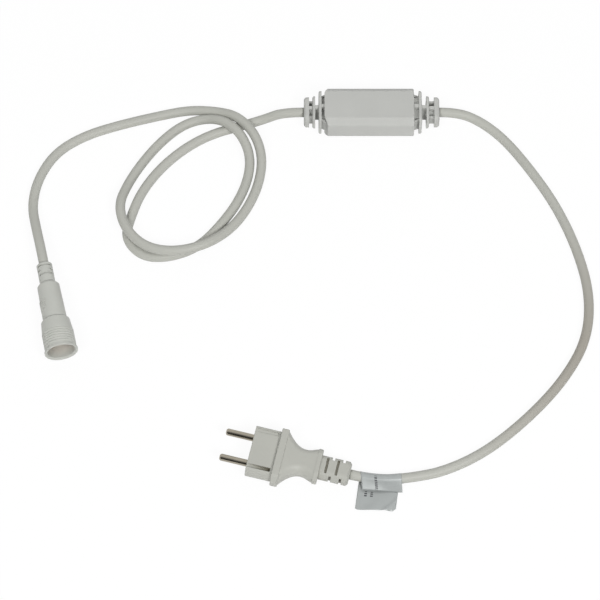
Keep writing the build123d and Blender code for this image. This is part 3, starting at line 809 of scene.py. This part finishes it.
def mark_recesses(shape):
    """Store on each face of the plug's relief how much of the moulding closes round it, as the share of
    painted shade there
    """
    shape.normal_update()
    recess = shape.faces.layers.float.new("recess")
    tree = BVHTree.FromBMesh(shape)
    for corners in shape.calc_loop_triangles():
        face = corners[0].face
        middle = sum((corner.vert.co for corner in corners), Vector()) / 3
        if (middle - plug_face).dot(plug_direction) > RELIEF_START:
            tilted = Quaternion(face.normal.orthogonal(), RECESS_TILT) @ face.normal
            hits = 0
            for index in range(RECESS_RAYS):
                ray = Quaternion(face.normal, math.tau * index / RECESS_RAYS) @ tilted
                hits += tree.ray_cast(middle + face.normal * TOLERANCE, ray, RECESS_REACH)[0] is not None
            face[recess] = max(face[recess], hits / RECESS_RAYS)


def reshape_plug(shape):
    """Fit the plug's grooves and relief slots to the real ones, and mark the slots for the painted shade in
    them
    """
    slope_grooves(shape)
    cut_near_slots(shape)
    widen_slots(shape)
    mark_recesses(shape)


def softened_copy(node, name, material, edge_round, reshape=None):
    """Merged copy of a solid, reshaped where asked, with rounded edges and smooth curved faces"""
    mesh = frame["nodes"][node].data.copy()
    shape = bmesh.new()
    shape.from_mesh(mesh)
    bmesh.ops.remove_doubles(shape, verts=shape.verts, dist=MERGE_DISTANCE)
    bmesh.ops.dissolve_limit(
        shape, angle_limit=FLAT_ANGLE, verts=shape.verts, edges=shape.edges, use_dissolve_boundaries=False
    )
    if reshape:
        reshape(shape)
    shape.to_mesh(mesh)
    shape.free()
    for attribute in [item for item in mesh.attributes if item.name == "custom_normal"]:
        mesh.attributes.remove(attribute)
    mesh.materials.clear()
    mesh.materials.append(material)
    mesh.shade_smooth()
    piece = link_piece(name, mesh)
    bevel = piece.modifiers.new("soft edges", "BEVEL")
    bevel.width = edge_round
    bevel.segments = BEVEL_SEGMENTS
    bevel.limit_method = "ANGLE"
    bevel.angle_limit = BEVEL_ANGLE
    bevel.use_clamp_overlap = True
    made = evaluated_mesh(piece)
    made.name = name
    made.set_sharp_from_angle(angle=SHARP_ANGLE)
    piece.modifiers.clear()
    piece.data = made
    bpy.data.meshes.remove(mesh)
    weighted = piece.modifiers.new("flat faces", "WEIGHTED_NORMAL")
    weighted.keep_sharp = True
    weighted.weight = FLAT_FACE_WEIGHT
    return piece


def route_line(name, route, steps):
    """Points along the smooth line that a route's points control"""
    curve = bpy.data.curves.new(name, "CURVE")
    curve.dimensions = "3D"
    curve.resolution_u = steps
    spline = curve.splines.new("NURBS")
    spline.points.add(len(route) - 1)
    for point, place in zip(spline.points, route):
        point.co = (*place, 1)
    spline.order_u = 3
    spline.use_endpoint_u = True
    line = link_piece(name, curve)
    mesh = evaluated_mesh(line)
    points = [vertex.co.copy() for vertex in mesh.vertices]
    bpy.data.objects.remove(line)
    bpy.data.curves.remove(curve)
    bpy.data.meshes.remove(mesh)
    return points


def line_frames(points):
    """Distance, place, tangent and a sideways direction that doesn't twist, at each point of a line"""
    frames = []
    side = None
    distance = 0.0
    for index, point in enumerate(points):
        before = points[max(index - 1, 0)]
        after = points[min(index + 1, len(points) - 1)]
        tangent = (after - before).normalized()
        if side is None:
            side = UP.cross(tangent).normalized()
        side = (side - tangent * side.dot(tangent)).normalized()
        distance += (point - before).length
        frames.append((distance, point, tangent, side))
    return frames


def line_place(frames, distance):
    """Point at a distance along a line"""
    for before, after in zip(frames, frames[1:]):
        if after[0] >= distance:
            return before[1].lerp(after[1], (distance - before[0]) / (after[0] - before[0]))
    return frames[-1][1].copy()


def tube_mesh(name, points, radius, sides):
    """Closed round tube along a line, with a UV map in metres along and round it"""
    shape = bmesh.new()
    uv_layer = shape.loops.layers.uv.new("along and round")
    rings = []
    for distance, point, tangent, side in line_frames(points):
        up = tangent.cross(side)
        ring = []
        for index in range(sides):
            angle = math.tau * index / sides
            ring.append(shape.verts.new(point + (side * math.cos(angle) + up * math.sin(angle)) * radius))
        rings.append((distance, ring))
    circumference = math.tau * radius
    for (start, low), (end, high) in zip(rings, rings[1:]):
        for index in range(sides):
            following = (index + 1) % sides
            face = shape.faces.new((low[index], low[following], high[following], high[index]))
            round_low = circumference * index / sides
            round_high = circumference * (index + 1) / sides
            corners = ((start, round_low), (start, round_high), (end, round_high), (end, round_low))
            for loop, corner in zip(face.loops, corners):
                loop[uv_layer].uv = corner
            face.smooth = True
    shape.faces.new(list(reversed(rings[0][1])))
    shape.faces.new(rings[-1][1])
    return finished_mesh(name, shape)


class CORD_OT_block(bpy.types.Operator):
    """Rectifier block with its ribbed tails"""

    bl_idname = "power_cord.block"
    bl_label = "Rectifier block"

    def execute(self, context):
        finish = context.scene.cord_mouldings
        plastic = moulded_plastic(
            "block_plastic", finish.block_colour, finish.grain, BLOCK_PEBBLE, roughness=0.55
        )
        node = "rectifier_housing"
        piece = softened_copy(node, "block_moulding", plastic, finish.edge_round, fill_tail_roots)
        finish_piece(piece, "moulded_grey", node)
        return {"FINISHED"}


class CORD_OT_plug(bpy.types.Operator):
    """Plug moulding and its plated pins"""

    bl_idname = "power_cord.plug"
    bl_label = "Plug"

    def execute(self, context):
        finish = context.scene.cord_mouldings
        # The plug's plastic carries painted shade in its near grooves and relief slots
        plastic = moulded_plastic(
            "plug_plastic", finish.plug_colour, finish.grain * FINE_GRAIN, FINE_PEBBLE, roughness=0.46,
            inside=painted_recess_shade, painted_light_colour=finish.groove_shade_colour,
        )
        piece = softened_copy("plug_body", "plug_moulding", plastic, finish.edge_round, reshape_plug)
        finish_piece(piece, "moulded_grey", "plug_body")
        nickel = plated_nickel("plated_nickel", finish.nickel_colour, pin_axis)
        for pin in ("plug_pin_1", "plug_pin_2"):
            copy = softened_copy(pin, pin + "_plated", nickel, finish.edge_round * PIN_EDGE)
            finish_piece(copy, "pin_metal", pin)
        return {"FINISHED"}


def start_tree(name, inputs):
    """New geometry node tree with named sizes, the wire that its nodes start from and the sizes' wires"""
    tree = bpy.data.node_groups.new(name, "GeometryNodeTree")
    for socket in inputs:
        tree.interface.new_socket(socket, in_out="INPUT", socket_type="NodeSocketFloat")
    tree.interface.new_socket("Geometry", in_out="OUTPUT", socket_type="NodeSocketGeometry")
    wire = Wire(tree).node("NodeGroupInput")
    return wire, {socket: wire.part(socket) for socket in inputs}


def end_tree(wire, geometry, material):
    """Close a geometry node tree: its instances made real and its material set"""
    realized = wire.node("GeometryNodeRealizeInstances", None, {"Geometry": geometry})
    coated = wire.node("GeometryNodeSetMaterial", None, {"Geometry": realized, "Material": material})
    wire.node("NodeGroupOutput", None, {"Geometry": coated})
    return wire.tree


def ridge_along(wire, line, given):
    """Low rounded ridge along a line that winds round Z"""
    upright = wire.node("GeometryNodeSetCurveNormal", {"mode": "Z_UP"}, {"Curve": line})
    circle = wire.node("GeometryNodeCurvePrimitiveCircle", None, {"Resolution": 12, "Radius": 1.0})
    size = wire.node("ShaderNodeCombineXYZ", None, {"X": given["Height"], "Y": given["Width"] * 0.5})
    profile = wire.node("GeometryNodeTransform", None, {"Geometry": circle, "Scale": size})
    sockets = {"Curve": upright, "Profile Curve": profile, "Fill Caps": True}
    return wire.node("GeometryNodeCurveToMesh", None, sockets)


def thread_tree(material):
    """Node tree that winds a ridge into a helix along Z"""
    wire, given = start_tree("collar thread", ("Turns", "Radius", "Span", "Height", "Width"))
    sockets = {
        "Resolution": 72,
        "Rotations": given["Turns"],
        "Start Radius": given["Radius"],
        "End Radius": given["Radius"],
        "Height": given["Span"],
    }
    helix = wire.node("GeometryNodeCurveSpiral", None, sockets)
    return end_tree(wire, ridge_along(wire, helix, given), material)


def ridges_tree(material, count):
    """Node tree that sets short ridges in a row along Z"""
    wire, given = start_tree("finger ridges", ("Radius", "Sweep", "Pitch", "Height", "Width"))
    sockets = {
        "Resolution": 16,
        "Radius": given["Radius"],
        "Start Angle": given["Sweep"] * -0.5,
        "Sweep Angle": given["Sweep"],
    }
    ridge = ridge_along(wire, wire.node("GeometryNodeCurveArc", None, sockets), given)
    step = wire.node("ShaderNodeCombineXYZ", None, {"Z": given["Pitch"]})
    row = wire.node("GeometryNodeMeshLine", None, {"Count": count, "Offset": step})
    placed = wire.node("GeometryNodeInstanceOnPoints", None, {"Points": row, "Instance": ridge})
    return end_tree(wire, placed, material)


def node_mesh(name, tree, values):
    """Plain mesh that a node tree makes with the given inputs"""
    holder = link_piece(name, bpy.data.meshes.new(name))
    modifier = holder.modifiers.new(name, "NODES")
    modifier.node_group = tree
    for item in tree.interface.items_tree:
        if item.item_type == "SOCKET" and item.in_out == "INPUT":
            modifier[item.identifier] = values[item.name]
    mesh = evaluated_mesh(holder)
    bpy.data.objects.remove(holder)
    mesh.name = name
    return mesh


def set_on_connector(name, mesh, origin, axes, slot):
    """Make a smooth piece of a mesh built round Z, at its place on the connector"""
    mesh.transform(Matrix.Translation(origin) @ axes.to_4x4())
    mesh.shade_smooth()
    finish_piece(link_piece(name, mesh), slot)


def add_thread(material, thread):
    """Wind the thread round the collar"""
    span = thread.start - thread.end
    values = {
        "Turns": span / thread.pitch,
        "Radius": thread.ground_radius,
        "Span": span,
        "Height": thread.ridge_height,
        "Width": thread.ridge_width,
    }
    helix = node_mesh("collar_thread", thread_tree(material), values)
    start = connector_mouth - connector_direction * thread.start
    axes = connector_direction.to_track_quat("Z", "Y").to_matrix()
    set_on_connector("collar_thread", helix, start, axes, "hard_grey")


def add_finger_ridges(material, ridges):
    """Set the row of finger ridges on the left of the grip"""
    values = {
        "Radius": ridges.radius,
        "Sweep": ridges.sweep,
        "Pitch": ridges.pitch,
        "Height": ridges.height,
        "Width": ridges.width,
    }
    row = node_mesh("finger_ridges", ridges_tree(material, ridges.count), values)
    first = connector_tail + connector_direction * ridges.first
    left = connector_direction.cross(UP)
    facing = (left * math.cos(RIDGE_RISE) + UP * math.sin(RIDGE_RISE)).normalized()
    axes = Matrix((facing, connector_direction.cross(facing), connector_direction)).transposed()
    set_on_connector("finger_ridges", row, first, axes, "moulded_grey")


class CORD_OT_connector(bpy.types.Operator):
    """Connector grip with its finger ridges, and the threaded collar"""

    bl_idname = "power_cord.connector"
    bl_label = "Connector"

    def execute(self, context):
        finish = context.scene.cord_mouldings
        grain = finish.grain * FINE_GRAIN
        edge_round = finish.edge_round * CONNECTOR_EDGE
        grip_plastic = moulded_plastic(
            "grip_plastic", finish.connector_colour, grain, FINE_PEBBLE, roughness=0.5
        )
        grip = softened_copy("connector_grip", "grip_moulding", grip_plastic, edge_round)
        finish_piece(grip, "moulded_grey", "connector_grip")
        # The collar's plastic carries painted warm bounce light inside the mouth
        collar_plastic = moulded_plastic(
            "collar_plastic", finish.connector_colour, grain, FINE_PEBBLE, roughness=0.42,
            inside=painted_mouth_warmth, painted_light_colour=finish.mouth_warmth_colour,
        )
        collar = softened_copy("connector_collar", "collar_shell", collar_plastic, edge_round)
        finish_piece(collar, "hard_grey", "connector_collar")
        add_thread(collar_plastic, context.scene.cord_thread)
        add_finger_ridges(grip_plastic, context.scene.cord_ridges)
        return {"FINISHED"}


class CORD_OT_leads(bpy.types.Operator):
    """Mains lead and output lead"""

    bl_idname = "power_cord.leads"
    bl_label = "Leads"

    def execute(self, context):
        sizes = context.scene.cord_leads
        # The sheath carries a painted shadow on the mains lead's right bend
        sheath = sheath_rubber("cord_sheath", sizes.sheath_colour, sizes.bend_shadow_colour)
        leads = (
            ("mains", MAINS_ROUTE, sizes.mains_length, "plug", "medium", PLUG_PIECES, PLUG_SOLIDS),
            ("output", OUTPUT_ROUTE, sizes.output_length, "connector", "limp",
             CONNECTOR_PIECES, CONNECTOR_SOLIDS),
        )
        for name, route, length, far_end, stiffness, pieces, solids in leads:
            line = route_line(name + "_line", route, sizes.steps)
            mesh = tube_mesh(name + "_sheath", line, sizes.diameter / 2, sizes.sides)
            mesh.materials.append(sheath)
            piece = link_piece(name + "_sheath", mesh)
            finish_piece(piece, "cord_sheath", name + "_lead")
        return {"FINISHED"}


def tag_section(radius, short_reach, long_reach, lift):
    """Film's path across the lead: short flap's edge, over the lead, under it, long flap's edge"""
    edge = Vector((short_reach, lift - radius))
    leave = math.atan2(edge.y, edge.x) + math.acos(radius / edge.length)
    touch = Vector((math.cos(leave), math.sin(leave))) * radius
    points = [edge.lerp(touch, index / SHORT_STEPS) for index in range(SHORT_STEPS)]
    for index in range(WRAP_STEPS + 1):
        angle = leave + (WRAP_END - leave) * index / WRAP_STEPS
        points.append(Vector((math.cos(angle), math.sin(angle))) * radius)
    for index in range(1, LONG_STEPS + 1):
        points.append(Vector((long_reach * index / LONG_STEPS, -radius)))
    return points


def film_lift(tag, share, short_free, long_free):
    """Height that curl, waves and crease give the film's free flaps, at a share of its width"""
    lift = SHORT_CURL * short_free * (1 - share) ** 3
    lift += SHORT_WAVE * short_free * math.sin(SHORT_WAVE_TURN * share)
    lift += LONG_WAVE * long_free * (1 + math.sin(LONG_WAVE_TURN * share + LONG_WAVE_SLANT * long_free))
    from_crease = (tag.width * (share - CREASE_START) - tag.long_reach * (1 - long_free)) / CREASE_WIDTH
    return lift + CREASE_HEIGHT * long_free * math.exp(-from_crease * from_crease)


def film_grid(tag, frames, section, lengths):
    """Places of the film's points: a row across the lead for each step along it"""
    near = line_place(frames, tag.offset)
    far = line_place(frames, tag.offset + tag.width)
    along = (far - near).normalized()
    outward = along.cross(UP).normalized()
    grid = []
    for column in range(TAG_COLUMNS + 1):
        share = column / TAG_COLUMNS
        on_lead = line_place(frames, tag.offset + tag.width * share)
        on_chord = near.lerp(far, share)
        corner_cut = PLUG_END_CUT if share < 0.5 else FREE_END_CUT
        corner_cut *= max(0.0, abs(share - 0.5) - CUT_START) / CUT_SPAN
        row = []
        for index, spot in enumerate(section):
            short_free = max(0.0, 1 - index / SHORT_STEPS)
            long_free = max(0.0, index - SHORT_STEPS - WRAP_STEPS) / LONG_STEPS
            straighten = max(short_free, long_free)
            place = on_lead.lerp(on_chord, straighten * (2 - straighten))
            place += outward * (spot.x - long_free * corner_cut) + UP * spot.y
            place += along * tag.drift * (DRIFT_CENTRE - lengths[index] / lengths[-1])
            place.z = max(place.z + film_lift(tag, share, short_free, long_free), tag.film)
            row.append(place)
        grid.append(row)
    return grid


class CORD_OT_tag(bpy.types.Operator):
    """Folded film tag on the mains lead"""

    bl_idname = "power_cord.tag"
    bl_label = "Film tag"

    def execute(self, context):
        tag = context.scene.cord_tag
        leads = context.scene.cord_leads
        frames = line_frames(route_line("tag_line", list(reversed(MAINS_ROUTE)), leads.steps))
        section = tag_section(leads.diameter / 2 + tag.film, tag.short_reach, tag.long_reach, tag.lift)
        lengths = [0.0]
        for before, after in zip(section, section[1:]):
            lengths.append(lengths[-1] + (after - before).length)
        shape = bmesh.new()
        uv_layer = shape.loops.layers.uv.new("film")
        grid = [[shape.verts.new(place) for place in row] for row in film_grid(tag, frames, section, lengths)]
        for column in range(TAG_COLUMNS):
            for index in range(len(section) - 1):
                corners = ((column, index), (column + 1, index), (column + 1, index + 1), (column, index + 1))
                face = shape.faces.new([grid[a][b] for a, b in corners])
                for loop, (a, b) in zip(face.loops, corners):
                    loop[uv_layer].uv = (tag.width * a / TAG_COLUMNS, lengths[b])
                face.smooth = True
        mesh = finished_mesh("tag_film", shape)
        mesh.materials.append(silvered_film("silvered_film", tag.film_colour))
        piece = link_piece("tag_film", mesh)
        wall = piece.modifiers.new("film", "SOLIDIFY")
        wall.thickness = tag.film
        wall.offset = 0
        finish_piece(piece, "tag_film", "cord_tag")
        return {"FINISHED"}


class CORD_OT_inner_pieces(bpy.types.Operator):
    """Finishes of the circuit, the contacts, the pin bridge and the cores"""

    bl_idname = "power_cord.inner_pieces"
    bl_label = "Inner pieces"

    def execute(self, context):
        for name, (colour, roughness, metallic, nodes) in INNER_FINISHES.items():
            material = plain_finish(name, colour, roughness, metallic)
            for node in nodes:
                dress_node(node, material)
        return {"FINISHED"}


def rays_in_view(wire):
    """1 for rays from the camera and for those that metal or glass sends on, 0 for the others"""
    path = wire.node("ShaderNodeLightPath")
    return path.part("Is Camera Ray") + path.part("Is Glossy Ray") + path.part("Is Transmission Ray")


def add_floor():
    """Matt floor that takes the object's shadow and shows almost white"""
    mesh = bpy.data.meshes.new("floor")
    corners = [(x * FLOOR_REACH, y * FLOOR_REACH, 0) for x, y in ((-1, -1), (1, -1), (1, 1), (-1, 1))]
    mesh.from_pydata(corners, [], [(0, 1, 2, 3)])
    material, wire = start_material("floor_white")
    matt = wire.node("ShaderNodeBsdfDiffuse", None, {"Color": FLOOR_GREY})
    white = wire.node("ShaderNodeEmission", None, {"Color": WHITE, "Strength": 1.0})
    whiteness = rays_in_view(wire).above(0.5) * FLOOR_WHITENESS
    end_material(wire, wire.node("ShaderNodeMixShader", None, {"Fac": whiteness, 1: matt, 2: white}))
    mesh.materials.append(material)
    link_piece("floor", mesh)


def surround_world(surround):
    """World that lights the object from above and behind; in view it is white with a dark card in front"""
    world = bpy.data.worlds.new("studio surround")
    world.use_nodes = True
    world.node_tree.nodes.clear()
    wire = Wire(world.node_tree)
    depth, height = split(wire, wire.node("ShaderNodeTexCoord").part("Generated"))[1:]
    open_sky = wire.math("MAXIMUM", height + depth * SKY_LEAN - SKY_DROP, SKY_LEAST) * surround
    dark_card = ((CARD_EDGE - depth) * CARD_EDGE_GAIN).clamped()
    dark_card = dark_card * ((height - CARD_FOOT) * CARD_FOOT_GAIN).clamped()
    in_view = rays_in_view(wire)
    strength = in_view * (1 - dark_card * CARD_DARKNESS) + (1 - in_view) * open_sky
    glow = wire.node("ShaderNodeBackground", None, {"Color": WHITE, "Strength": strength})
    wire.node("ShaderNodeOutputWorld", None, {"Surface": glow})
    return world


def look_at(holder, place, aim):
    """Put a lamp or the camera at a place, turned towards its aim"""
    holder.location = place
    holder.rotation_euler = (Vector(aim) - Vector(place)).to_track_quat("-Z", "Y").to_euler()


def area_lamp(name, place, aim, power, mirrored):
    """Round soft lamp; one that isn't mirrored leaves no highlight on the pins"""
    lamp = bpy.data.lights.new(name, "AREA")
    lamp.shape = "DISK"
    lamp.size = LAMP_SIZE
    lamp.energy = power
    holder = link_piece(name, lamp)
    holder.visible_glossy = mirrored
    look_at(holder, place, aim)


class CORD_OT_stage(bpy.types.Operator):
    """Floor, light and camera"""

    bl_idname = "power_cord.stage"
    bl_label = "Stage"

    def execute(self, context):
        stage = context.scene.cord_stage
        add_floor()
        context.scene.world = surround_world(stage.surround)
        area_lamp("key lamp", KEY_PLACE, stage.camera_aim, stage.key_power, mirrored=False)
        area_lamp("fill lamp", FILL_PLACE, stage.camera_aim, stage.fill_power, mirrored=True)
        camera_data = bpy.data.cameras.new("camera")
        camera_data.lens = stage.lens
        camera_data.sensor_width = SENSOR_WIDTH
        camera = link_piece("camera", camera_data)
        look_at(camera, stage.camera_place, stage.camera_aim)
        context.scene.camera = camera
        context.scene.view_settings.view_transform = "Standard"
        return {"FINISHED"}


class CORD_PT_panel(bpy.types.Panel):
    """The cord's sizes and colours, and its pieces"""

    bl_label = "Power cord"
    bl_idname = "CORD_PT_panel"
    bl_space_type = "VIEW_3D"
    bl_region_type = "UI"
    bl_category = "Power cord"

    def draw(self, context):
        for name, group in SETTINGS.items():
            for setting in group.__annotations__:
                self.layout.prop(getattr(context.scene, name), setting)
        for operator in OPERATORS:
            self.layout.operator(operator.bl_idname)


SETTINGS = {
    "cord_leads": CordLeads,
    "cord_mouldings": CordMouldings,
    "cord_thread": CordThread,
    "cord_ridges": CordRidges,
    "cord_tag": CordTag,
    "cord_stage": CordStage,
}
OPERATORS = (
    CORD_OT_block,
    CORD_OT_plug,
    CORD_OT_connector,
    CORD_OT_tag,
    CORD_OT_leads,
    CORD_OT_inner_pieces,
    CORD_OT_stage,
)
CLASSES = (*SETTINGS.values(), *OPERATORS, CORD_PT_panel)


def register():
    for item in CLASSES:
        bpy.utils.register_class(item)
    for name, group in SETTINGS.items():
        setattr(bpy.types.Scene, name, PointerProperty(type=group))


def unregister():
    for name in SETTINGS:
        delattr(bpy.types.Scene, name)
    for item in reversed(CLASSES):
        bpy.utils.unregister_class(item)


def main():
    register()
    bpy.ops.power_cord.block()
    bpy.ops.power_cord.plug()
    bpy.ops.power_cord.connector()
    bpy.ops.power_cord.tag()
    bpy.ops.power_cord.leads()
    bpy.ops.power_cord.inner_pieces()
    bpy.ops.power_cord.stage()


if __name__ == "__main__":
    main()
